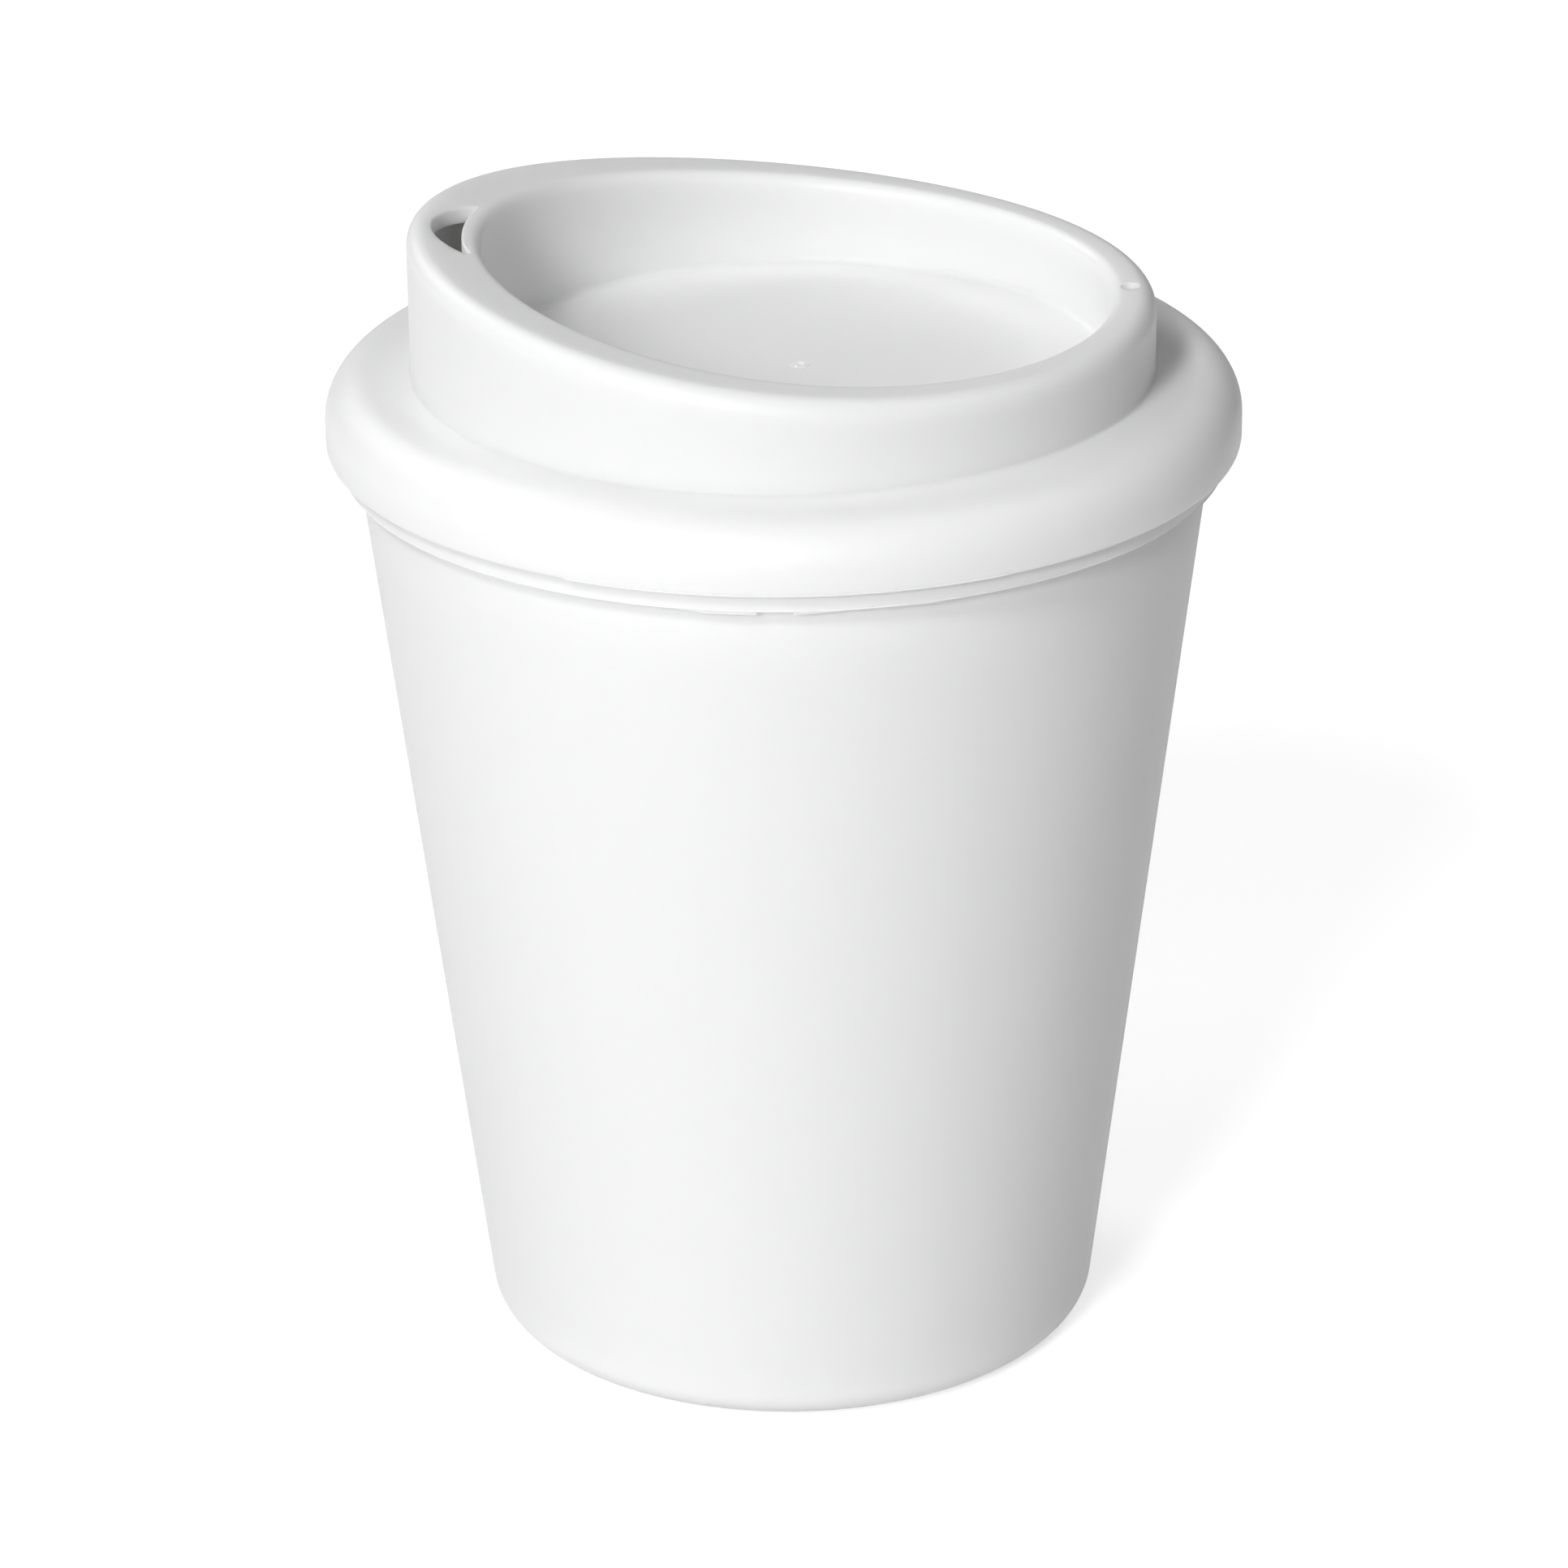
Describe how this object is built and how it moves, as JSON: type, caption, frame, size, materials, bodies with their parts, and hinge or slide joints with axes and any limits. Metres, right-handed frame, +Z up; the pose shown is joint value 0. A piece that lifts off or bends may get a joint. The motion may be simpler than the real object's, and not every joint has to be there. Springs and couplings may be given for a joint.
{
  "type": "reusable plastic coffee cup with screw lid",
  "caption": "Double-wall plastic coffee cup with a threaded neck and a screw lid that has a slanted drinking rim, a drinking hole and a vent.",
  "frame": {"origin": "centre of the foot, on the surface that the cup stands on", "axes": "+Z up; +X towards the lid's vent hole, the low side of the rim; -X towards the drinking hole; -Y towards the front"},
  "size_m": [0.091, 0.091, 0.117],
  "materials": {
    "shell": "satin white polypropylene",
    "liner": "satin white polypropylene",
    "lid": "satin white polypropylene",
    "seal": "translucent pale silicone"
  },
  "bodies": {
    "cup": {"outer_shell": "shell", "inner_cup": "liner"},
    "seal": {"seal_ring": "seal"},
    "lid": {"lid": "lid"}
  },
  "joints": [
    {"name": "lid_rise", "type": "slide", "parent": "cup", "child": "seal", "axis": [0, 0, 1], "range_m": [0, 0.0042]},
    {"name": "lid_turn", "type": "hinge", "parent": "seal", "child": "lid", "pos_m": [0, 0, 0.097], "axis": [0, 0, 1], "range_deg": [0, 300]}
  ],
  "couplings": [
    {"joint": "lid_rise", "follows": "lid_turn", "m_per_rad": 0.00079577}
  ]
}
